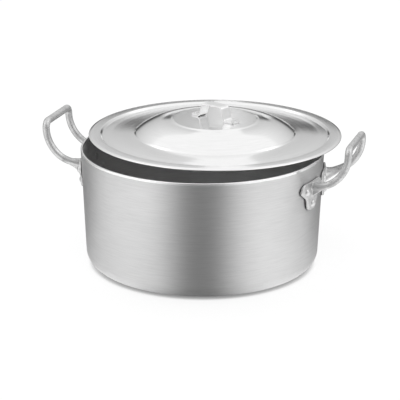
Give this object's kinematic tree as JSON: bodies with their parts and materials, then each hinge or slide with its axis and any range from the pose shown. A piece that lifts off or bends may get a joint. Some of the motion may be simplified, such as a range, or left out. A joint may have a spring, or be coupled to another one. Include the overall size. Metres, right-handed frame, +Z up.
{
  "type": "brew kettle with lid",
  "caption": "Wide, low brewing and stock kettle with a flat base, riveted loop handles and a loose domed lid that lies ajar on its rim.",
  "frame": {"origin": "centre of the flat base's underside", "axes": "+Z up, out of the kettle's mouth; +X through the middle of the right-hand loop handle; +Y the way the lid is slid back"},
  "size_m": [0.5896, 0.5414, 0.2813],
  "materials": {
    "spun_aluminium": "brushed",
    "lid_aluminium": "satin",
    "cast_aluminium": "satin",
    "strap_aluminium": "satin",
    "rivet_aluminium": "satin"
  },
  "bodies": {
    "kettle": {"kettle_shell": "spun_aluminium", "handle_right": "cast_aluminium", "handle_left": "cast_aluminium", "rivet_right_front_outer": "rivet_aluminium", "rivet_right_front_inner": "rivet_aluminium", "rivet_right_front_lower": "rivet_aluminium", "rivet_right_rear_outer": "rivet_aluminium", "rivet_right_rear_inner": "rivet_aluminium", "rivet_right_rear_lower": "rivet_aluminium", "rivet_left_rear_outer": "rivet_aluminium", "rivet_left_rear_inner": "rivet_aluminium", "rivet_left_rear_lower": "rivet_aluminium", "rivet_left_front_outer": "rivet_aluminium", "rivet_left_front_inner": "rivet_aluminium", "rivet_left_front_lower": "rivet_aluminium"},
    "lid": {"lid_pan": "lid_aluminium", "lid_strap_handle": "strap_aluminium", "lid_rivet_near": "rivet_aluminium", "lid_rivet_far": "rivet_aluminium"}
  },
  "joints": [
    {"name": "lid_lift", "type": "slide", "parent": "kettle", "child": "lid", "axis": [0, 0, 1], "range_m": [0, 0.25]}
  ]
}
